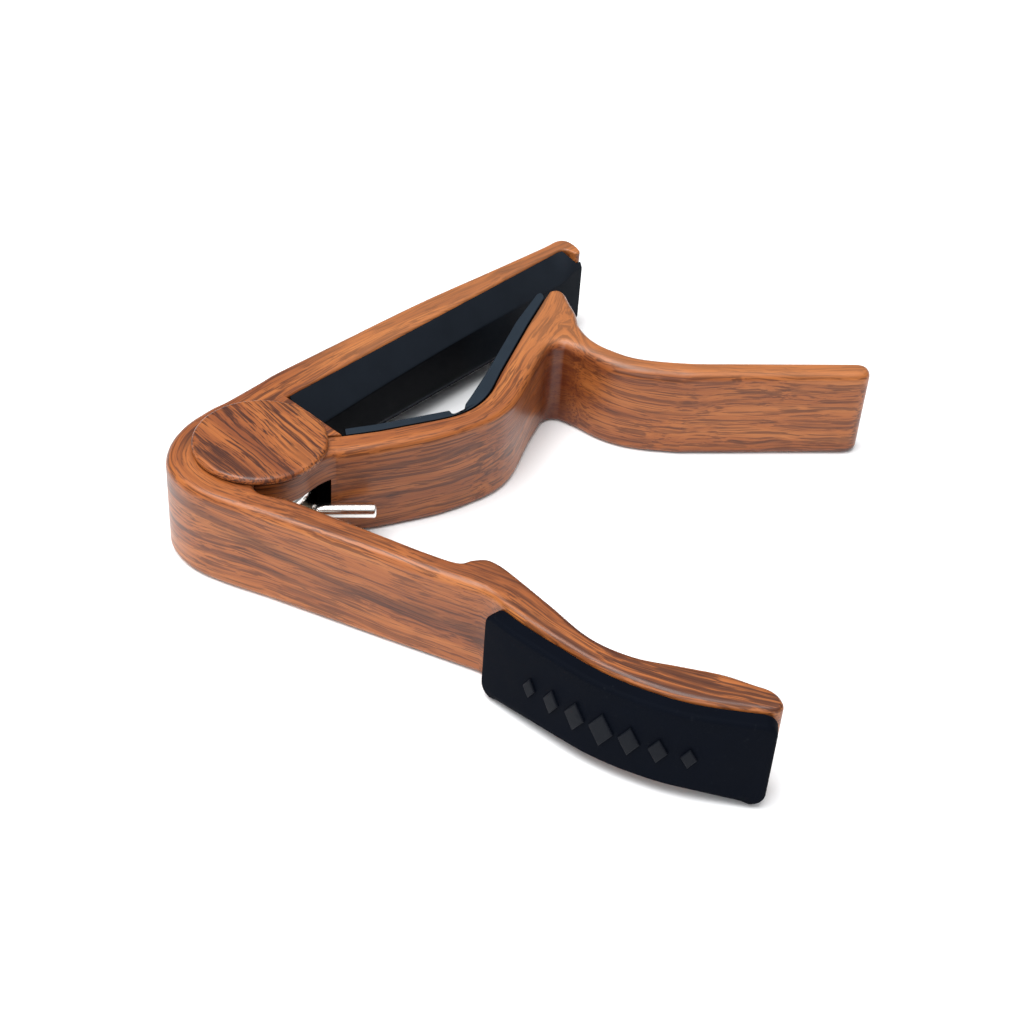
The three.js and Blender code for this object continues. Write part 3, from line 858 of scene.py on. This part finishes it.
def jaw_outline():
    """Drum, bulged arm, squeeze handle and pointed tip, counterclockwise."""
    o = Outline(11.6, 3.9, 0.5, 0.9)
    o.edges(0.15, 0.15).arc(DRUM_RADIUS, 18, 330, 84)
    o.edges(0.9, 0.9).quad(9.36, -1.59, 11.2, -0.55)
    o.edges(1.3, 1.1).spline([
        (13.4, 0.3), (18.9, 2.4), (26.5, 6.1), (31.5, 9.7), (34, 11.9), (36, 14.5), (37.6, 18.3),
        (39.6, 26.4), (41.2, 31.6),
    ], 8)
    o.edges(1.9).quad(42.1, 33.6, 44, 33.4, 10)
    o.spline([(46.8, 31.8), (50.2, 29.3), (53.6, 27.7), (57.8, 26.9), (63.7, 26.8)], 8)
    o.edges(1.4).to(75.4, 28.3)
    o.edges(1.3, 1.3).to(90.6, 30.3)
    o.quad(93.4, 30.65, 93.4, 32.5, 10)
    o.quad(93.4, 34.7, 90.6, 34.35, 10)
    o.edges(1.3).to(71.6, 31.9)
    o.spline([
        (63.9, 31), (56.3, 31.2), (51.8, 33), (48.7, 35.4), (46.5, 39.2), (45.7, 43.2), (44.2, 47.3),
    ], 8)
    o.edges(0.75, 0.75).quad(43.1, 50.5, 41.1, 48.9, 12)
    o.edges(0.6, 0.9).to(38.1, 38.4)
    o.spline([(34.4, 24.1), (33, 18.2), (31, 14.2), (28.4, 11.6), (25.7, 10)], 7)
    o.to(17.1, 5.95)
    o.to(11.6, 3.9)
    return o.close()


def make_jaw():
    """The jaw casting, its drum hollowed out for the spring and recessed for the caps."""
    bm = bmesh.new()
    plate(bm, jaw_outline(), 0, WIDTH)
    obj = finish_mesh("jaw_casting", bm)
    cut(obj, [
        round_tool("top recess", BORE_RADIUS, DRUM_TOP, 18),
        round_tool("lip clearance", BORE_RADIUS + 0.1, -2, DRUM_FLOOR),
        round_tool("base recess", BASE_RECESS_RADIUS, -1, BASE_RECESS),
        round_tool("pin hole", PIN_HOLE, -1, 17, 48),
        round_tool("upper boss hole", BOSS_HOLE, 14.2, 17, 48),
        round_tool("lower boss hole", BOSS_HOLE, -1, 3.2, 48),
        round_tool("spring room", SLOT_RADIUS, SLOT_LOW, SLOT_HIGH),
        box_tool("slot", (-10, -11, SLOT_LOW), (SLOT_END, 0, SLOT_HIGH)),
    ])
    arm = Spine([
        (-9, -0.5), (0, 0), (10, 1.6), (16, 3.6), (22, 6.2), (27, 8.6), (31, 12), (34, 17.2), (36.5, 26),
        (39.4, 35), (41.5, 42), (43, 48),
    ])
    branch = arm.nearest(40.2, 35)[0]
    handle = Spine([
        (40.2, 35), (45, 35.2), (49.2, 32.4), (53.4, 30.2), (58, 29.1), (64, 28.9), (75, 30.2),
        (92, 32.4),
    ], branch)
    root_along = arm.nearest(DRUM_RADIUS * math.cos(ROOT_ANGLE), DRUM_RADIUS * math.sin(ROOT_ANGLE))[0]

    def at(x, y, z):
        """Round the drum, then along the arm, turning into the handle past the valley."""
        reach = math.hypot(x, y)
        if reach < DRUM_RADIUS + 0.05:
            angle = math.atan2(y, x) % (2 * math.pi)
            return (root_along + (angle - ROOT_ANGLE) * DRUM_RADIUS, ROOT_SIDE + reach - DRUM_RADIUS, z)
        along, side = arm.nearest(x, y)
        if x < ROOT_REACH:
            side = max(side, ROOT_SIDE)
        handle_along, handle_side = handle.nearest(x, y)
        share = smoothstep(41, 49, x + 0.25 * (33 - y))
        return (along + (handle_along - along) * share, side + (handle_side - side) * share, z)

    def painted_shade(x, y, z):
        """Painted shade: dark in the valley where the handle leaves the arm, where shade gathers, and
        fading out towards the upper face.
        """
        valley = math.exp(-math.dist(VALLEY, (x, y)) ** 2 / 18)
        return valley * smoothstep(WIDTH - 0.2, 13, z)

    add_grain(obj, at, painted_shade)
    # The drum's slot and spring room get painted shade.
    second_material(obj, in_spring_room)
    return obj


def make_cap_top():
    """The raised disc over the pivot, with a socket for the pin."""
    bm = bmesh.new()
    profile = [
        (0, 16.4, 0), (PIN_HOLE, 16.4, 0), (PIN_HOLE, 14.5, 0), (BOSS_RADIUS, 14.5, 0.15),
        (BOSS_RADIUS, 16, 0), (CAP_RADIUS, 16, 0.2), (CAP_RADIUS, 17.0, 0.75), (8.8, 17.06, 0.3),
        (0, 17.1, 0),
    ]
    lathe(bm, rounded_profile(profile), 128)
    obj = finish_mesh("pivot_disc", bm)
    turn = math.radians(-45)

    def at(x, y, z):
        return (x * math.cos(turn) + y * math.sin(turn), -x * math.sin(turn) + y * math.cos(turn), z)

    add_grain(obj, at)
    return obj


def make_cap_bottom():
    """The matching disc underneath, flush with the side the capo lies on."""
    bm = bmesh.new()
    profile = [
        (0, 0, 0), (CAP_BOTTOM_RADIUS, 0, 0.35), (CAP_BOTTOM_RADIUS, 1.5, 0.15), (BOSS_RADIUS, 1.5, 0),
        (BOSS_RADIUS, 2.9, 0.15), (PIN_HOLE, 2.9, 0), (PIN_HOLE, 0.7, 0), (0, 0.7, 0),
    ]
    lathe(bm, rounded_profile(profile), 96)
    obj = finish_mesh("base_disc", bm)
    add_grain(obj, lambda x, y, z: (x, y, z))
    return obj


# -------- spring

def coil_height(angle):
    """A low turn, a short rise, and a high turn that lies on it."""
    i = 1
    while i < len(COIL_RISE) - 1 and COIL_RISE[i][0] < angle:
        i += 1
    (a, low), (b, high) = COIL_RISE[i - 1], COIL_RISE[i]
    share = smoothstep(a, b, angle) if i == 2 else min(max((angle - a) / (b - a), 0), 1)
    return low + (high - low) * share


def spring_path():
    """Centreline from the jaw leg's tip, round the coil, to the body leg's tip."""
    points = []
    bend_x = COIL + BEND
    end_x = bend_x + BEND * math.sin(LEG_TURN)
    end_y = -BEND * math.cos(LEG_TURN)
    leg_steps, bend_steps, coil_steps, end_steps = 8, 16, 132, 10
    for k in range(leg_steps + 1):
        out = LEG_LENGTH * (1 - k / leg_steps)
        points.append((end_x + out * math.cos(LEG_TURN), end_y + out * math.sin(LEG_TURN), LEG_HEIGHT))
    sweep = math.pi / 2 + LEG_TURN
    for k in range(1, bend_steps + 1):
        angle = LEG_TURN - math.pi / 2 - sweep * k / bend_steps
        drop = (1 - math.cos(math.pi * k / bend_steps)) / 2
        height = LEG_HEIGHT + (COIL_RISE[0][1] - LEG_HEIGHT) * drop
        points.append((bend_x + BEND * math.cos(angle), BEND * math.sin(angle), height))
    for k in range(1, coil_steps + 1):
        angle = SWEEP * k / coil_steps
        points.append((COIL * math.cos(angle), COIL * math.sin(angle), coil_height(angle)))
    x, y, z = points[-1]
    for k in range(1, end_steps + 1):
        past = BODY_LEG_LENGTH * k / end_steps
        points.append((x - past * math.sin(SWEEP), y + past * math.cos(SWEEP), z))
    return [Vector(p) for p in points]


def make_spring():
    """The wire swept along its path, both of its ends rounded off."""
    path = spring_path()
    sides = 24
    bm = bmesh.new()
    rings = []
    normal = Vector((0, 0, 1))
    first = (path[1] - path[0]).normalized()
    final = (path[-1] - path[-2]).normalized()
    tapers = []
    for k in range(6):
        turn = 0.5 * math.pi * k / 5
        tapers.append((WIRE_END * (1 - math.cos(turn)), WIRE - WIRE_END + WIRE_END * math.sin(turn)))
    stations = [(path[0] + first * inset, radius, first) for inset, radius in tapers]
    for i in range(1, len(path) - 1):
        stations.append((path[i], WIRE, (path[i + 1] - path[i - 1]).normalized()))
    stations += [(path[-1] - final * inset, radius, final) for inset, radius in reversed(tapers)]
    for centre, radius, way in stations:
        normal = (normal - way * normal.dot(way)).normalized()
        side = way.cross(normal)
        rings.append([
            bm.verts.new(centre + (normal * math.cos(2 * math.pi * k / sides)
                                   + side * math.sin(2 * math.pi * k / sides)) * radius)
            for k in range(sides)
        ])
    skin(bm, rings)
    bm.faces.new(list(reversed(rings[0])))
    bm.faces.new(rings[-1])
    return finish_mesh("spring_wire", bm, sharp=40, weighted=False)


# -------- rubber pieces

def make_neck_pad():
    """The strip along the jaw's inner side, its walls given painted shade, darker than its upper face."""
    obj = rubber_copy("neck_pad", "neck_rubber", 0.25)
    second_material(obj, lambda x, y, z, normal: abs(normal.z) < 0.5)
    return obj


def rubber_copy(node, name, width):
    """The node's own shape with its moulded edges rounded to one width."""
    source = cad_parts[node]
    bm = bmesh.new()
    bm.from_mesh(source.data)
    bmesh.ops.remove_doubles(bm, verts=bm.verts, dist=1e-6)
    bmesh.ops.dissolve_limit(
        bm, angle_limit=math.radians(0.4), verts=bm.verts, edges=bm.edges, use_dissolve_boundaries=False,
    )
    obj = placed(name, bm)
    for polygon in obj.data.polygons:
        polygon.use_smooth = True
    bevel = obj.modifiers.new("moulded edge", "BEVEL")
    bevel.width = width * MM
    bevel.segments = 4
    bevel.limit_method = "ANGLE"
    bevel.angle_limit = math.radians(28)
    bevel.miter_outer = "MITER_ARC"
    soften = obj.modifiers.new("corner shading", "WEIGHTED_NORMAL")
    soften.keep_sharp = True
    return obj


class Seat:
    """The trigger handle's outer wall, by distance along it and off it."""

    def __init__(self):
        self.points = [SEAT[0], *catmull(SEAT, 40)]
        self.places = [0.0]
        for a, b in zip(self.points, self.points[1:]):
            self.places.append(self.places[-1] + math.dist(a, b))
        self.length = self.places[-1]

    def at(self, along):
        """The point on the wall, and the wall's direction there."""
        i = 0
        while i < len(self.places) - 2 and self.places[i + 1] < along:
            i += 1
        t = (along - self.places[i]) / (self.places[i + 1] - self.places[i])
        a, b = self.points[i], self.points[i + 1]
        p = self.points[max(i - 1, 0)]
        q = self.points[min(i + 2, len(self.points) - 1)]
        way1 = Vector((b[0] - p[0], b[1] - p[1])).normalized()
        way2 = Vector((q[0] - a[0], q[1] - a[1])).normalized()
        way = (way1 * (1 - t) + way2 * t).normalized()
        return a[0] + (b[0] - a[0]) * t, a[1] + (b[1] - a[1]) * t, way

    def off(self, x, y):
        """How far off the wall a point is."""
        return min(math.dist((x, y), point) for point in self.points)

    def place(self, along, height, off):
        """A point in space from its distance along the wall, its height and its distance off it."""
        x, y, way = self.at(along)
        return (x + way.y * off, y - way.x * off, height)


def rounded_box_outline(left, right, low, high, corner, upper, lower, steps=8):
    """A box with round corners, as the outline of a plate."""
    o = Outline(right - corner, low, upper, lower)
    for cx, cy, start in (
        (right - corner, low + corner, -90), (right - corner, high - corner, 0),
        (left + corner, high - corner, 90), (left + corner, low + corner, 180),
    ):
        first = math.radians(start)
        o.to(cx + corner * math.cos(first), cy + corner * math.sin(first))
        for k in range(1, steps + 1):
            angle = math.radians(start + 90 * k / steps)
            o.add(cx + corner * math.cos(angle), cy + corner * math.sin(angle))
    return o.close()


def make_grip():
    """The cover bent along the handle, with a row of lozenges that shrink towards its ends."""
    seat = Seat()
    bm = bmesh.new()
    cover = rounded_box_outline(
        GRIP_START * seat.length, seat.length, GRIP_LOW, GRIP_HIGH, corner=2.0, upper=0.7, lower=0.2,
    )
    plate(bm, cover, GRIP_OFF, GRIP_FACE, spacing=1.0, levels=2, place=seat.place)
    for i in range(MOTIF_COUNT):
        share = i / (MOTIF_COUNT - 1)
        middle = (0.24 + 0.52 * share) * seat.length
        size = 1 - 0.4 * abs(2 * share - 1)
        wide = MOTIF_WIDE * size
        tall = MOTIF_TALL * size
        o = Outline(middle + wide, MOTIF_HEIGHT, 0.22, 0.05)
        o.to(middle, MOTIF_HEIGHT + tall).to(middle - wide, MOTIF_HEIGHT)
        o.to(middle, MOTIF_HEIGHT - tall).to(middle + wide, MOTIF_HEIGHT)
        plate(bm, o.close(), MOTIF_ROOT, MOTIF_FACE, steps=3, spacing=0.8, levels=1, place=seat.place)
    obj = finish_mesh("grip_cover", bm, sharp=40)
    # The raised motif gets the glossier rubber, its lighter tint partly a painted sheen
    second_material(obj, lambda x, y, z, normal: seat.off(x, y) > GRIP_FACE + 0.05)
    return obj


def make_string_pad():
    """Sloping flanks and a hollowed crown, lofted along the bar and filled out beside the lip."""
    bm = bmesh.new()
    steps = 60
    rings = []
    for i in range(steps + 1):
        along = PAD_START + (PAD_END - PAD_START) * (i / steps) ** 0.9
        end = smoothstep(60.5, 64.6, along)
        crown = CROWN_LOW + CROWN_HOLLOW * (along / PAD_END - CROWN_LOW_AT) ** 2
        base = PAD_OFF + 0.55 * smoothstep(63.8, 64.6, along) + 2.3 * smoothstep(64.5, 64.9, along)
        side = [
            (a + (b - a) * end, low + (high - low) * end)
            for (a, low), (b, high) in zip(PAD_FLANK, PAD_FULL)
        ]
        rings.append(pad_section(along, base, crown, side))
    made = [[bm.verts.new(c) for c in ring] for ring in rings]
    skin(bm, made)
    bm.faces.new(list(reversed(made[0])))
    bm.faces.new(made[-1])
    obj = finish_mesh("string_rubber", bm, sharp=38)
    # The crown face, in the jaw's shade, gets painted shade.
    pressed = Vector((math.sin(BAR_ANGLE), -math.cos(BAR_ANGLE), 0))
    second_material(obj, lambda x, y, z, normal: normal.dot(pressed) > 0.93)
    return obj


def level_at(side, across):
    """Height of the flank at one distance off the bar."""
    for (a, z1), (b, z2) in zip(side, side[1:]):
        if across <= b:
            return z1 + (z2 - z1) * (across - a) / (b - a)
    return side[-1][1]


def pad_section(along, base, crown, side):
    """One slice of the pad across the bar, its crown corners rounded, as points in space."""
    half = [(max(across, base), min(level, level_at(side, base))) for across, level in side[:-1]]
    half[-1] = (max(half[-1][0], base + 0.05), min(half[-1][1], level_at(side, base + 0.05)))
    corner = Vector((crown, level_at(side, crown)))
    way = (Vector(half[-1]) - corner).normalized() * CROWN_CORNER
    for k in range(5):
        t = k / 4
        down = CROWN_CORNER * t * t
        half.append((corner.x + way.x * (1 - t) ** 2, corner.y + way.y * (1 - t) ** 2 - down))
    mirrored = [(across, WIDTH - level) for across, level in reversed(half)]
    return [(*bar_point(along, across), level) for across, level in [*half, *mirrored]]


# -------- assembly

# pale gives where painted light lightens the upper face, by distance along the grain
WOOD_BODY = wood_print("printed wood film", band={
    "start": 92, "end": 124, "high": 12.6, "low": 7.6, "half": 1.1,
}, pale=(66, 50))
WOOD_JAW = wood_print("printed wood film on the jaw", shift=(23, 5, 9), pale=(54, 66))
WOOD_DISC = wood_print("printed wood film on the disc", streaks=1.5, shift=(31, 12, 5))
PAINTED_SHADE_CAVITY = painted_shade_cavity("painted shade in the spring room and bore")
PAD_RUBBER = rubber("pad rubber", PAD_TINT, 0.6, 0.08)
GRIP_RUBBER = rubber("grip rubber", GRIP_TINT, 0.7, 0.03)
PAD_PAINTED_SHADE = rubber("pad rubber, painted shade", PAD_PAINTED_SHADE_TINT, 0.6, 0.04, PAD_TINT)
MOTIF_RUBBER = rubber("grip rubber, raised motif", MOTIF_TINT, 0.5, 0.08)
NECK_RUBBER = rubber("neck pad rubber", NECK_TINT, 0.6, 0.08)
NICKEL = metal("bright nickel wire", NICKEL_TINT, 0.17)
STEEL = metal("ground steel pin", STEEL_TINT, 0.25)
NYLON = nylon("natural nylon")


def dress(obj, material, body=None, replaces=None, second=None):
    """Gives a piece its materials, the body it rides and the node it replaces."""
    indices = [p.material_index for p in obj.data.polygons]
    obj.data.materials.clear()
    obj.data.materials.append(material)
    if second:
        obj.data.materials.append(second)
        obj.data.polygons.foreach_set("material_index", indices)
    if body:
        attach(obj, body)
    if replaces:
        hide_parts(replaces)


dress(make_main_body(), WOOD_BODY, "body", "main_body", PAINTED_SHADE_CAVITY)
dress(make_jaw(), WOOD_JAW, "jaw", "jaw_lever", PAINTED_SHADE_CAVITY)
dress(make_cap_top(), WOOD_DISC, "jaw", "pivot_cap_top")
dress(make_cap_bottom(), WOOD_BODY, "jaw", "pivot_cap_bottom")
dress(make_string_pad(), PAD_RUBBER, "body", "string_pad", PAD_PAINTED_SHADE)
dress(make_neck_pad(), NECK_RUBBER, "jaw", "neck_pad", PAD_PAINTED_SHADE)
dress(make_grip(), GRIP_RUBBER, "body", "handle_grip", MOTIF_RUBBER)
spring = make_spring()
dress(spring, NICKEL, None, "torsion_spring")
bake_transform(spring)

for node, material in (
    ("pivot_pin", STEEL), ("spring_sleeve", NYLON), ("thrust_washer_top", NYLON),
    ("thrust_washer_bottom", NYLON),
):
    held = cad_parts[node]
    held.data.materials.clear()
    held.data.materials.append(material)


# -------- studio

def make_floor():
    """A plain pale floor, much larger than the capo."""
    bm = bmesh.new()
    bmesh.ops.create_grid(bm, x_segments=1, y_segments=1, size=3.0)
    floor = placed("studio_floor", bm)
    m = Nodes("pale paper")
    here = m.here()
    mottled = m.noise(here, scale=40, detail=3.0)
    m.set(Base_Color=m.mix(mottled, (0.915, 0.92, 0.93), (0.935, 0.94, 0.945)), Roughness=0.6)
    m.shader.inputs["Specular IOR Level"].default_value = 0.25
    floor.data.materials.append(m.material)


def area_light(name, position, target, size, power):
    """A rectangular light at a place, turned towards the target."""
    data = bpy.data.lights.new(name, "AREA")
    data.shape = "RECTANGLE"
    data.size, data.size_y = size
    data.energy = power
    light = bpy.data.objects.new(name, data)
    light.location = position
    way = Vector(target) - Vector(position)
    light.rotation_euler = way.to_track_quat("-Z", "Y").to_euler()
    bpy.context.scene.collection.objects.link(light)


make_floor()
CENTRE = (0.035, 0.0, 0.0)
area_light("key", position=(-0.2, -0.15, 0.85), target=CENTRE, size=(0.8, 0.6), power=9.5)
area_light("front fill", position=(-0.2, -0.75, 0.3), target=CENTRE, size=(0.8, 0.3), power=2.2)


def make_world():
    """Bright overhead and dim towards the horizon, as under a light tent."""
    world = bpy.data.worlds.new("soft studio")
    bpy.context.scene.world = world
    world.use_nodes = True
    tree = world.node_tree
    here = tree.nodes.new("ShaderNodeTexCoord")
    split = tree.nodes.new("ShaderNodeSeparateXYZ")
    ramp = tree.nodes.new("ShaderNodeValToRGB")
    tree.links.new(here.outputs["Generated"], split.inputs[0])
    tree.links.new(split.outputs[2], ramp.inputs[0])
    tree.links.new(ramp.outputs[0], tree.nodes["Background"].inputs["Color"])
    elements = ramp.color_ramp.elements
    elements[0].color = (0.12, 0.12, 0.125, 1)
    elements[1].position = 0.95
    elements[1].color = (0.98, 0.99, 1.0, 1)
    elements.new(0.5).color = (0.2, 0.2, 0.205, 1)
    elements.new(0.72).color = (0.62, 0.63, 0.64, 1)
    tree.nodes["Background"].inputs["Strength"].default_value = 1.3


make_world()
bpy.context.scene.view_settings.view_transform = "Standard"


# -------- camera

# Place and lens in millimetres, tilt and roll in radians
CAMERA_AT = (37.673, -217.502, 180.367)
CAMERA_DOWN = 0.6735
CAMERA_ROLL = 0.0769
SENSOR_WIDTH = 36
FOCAL_LENGTH = 65.2345


def make_camera():
    """Looks down on the capo from the side of the grip, rolled a little."""
    data = bpy.data.cameras.new("studio camera")
    data.sensor_width = SENSOR_WIDTH
    data.lens = FOCAL_LENGTH
    data.clip_start = 0.01
    camera = bpy.data.objects.new("studio camera", data)
    right = Vector((1, 0, 0))
    up = Vector((0, math.sin(CAMERA_DOWN), math.cos(CAMERA_DOWN)))
    back = Vector((0, -math.cos(CAMERA_DOWN), math.sin(CAMERA_DOWN)))
    tilted_right = right * math.cos(CAMERA_ROLL) + up * math.sin(CAMERA_ROLL)
    tilted_up = up * math.cos(CAMERA_ROLL) - right * math.sin(CAMERA_ROLL)
    turn = Matrix((tilted_right, tilted_up, back)).transposed()
    camera.matrix_world = Matrix.Translation(Vector(CAMERA_AT) * MM) @ turn.to_4x4()
    bpy.context.scene.collection.objects.link(camera)
    bpy.context.scene.camera = camera


make_camera()
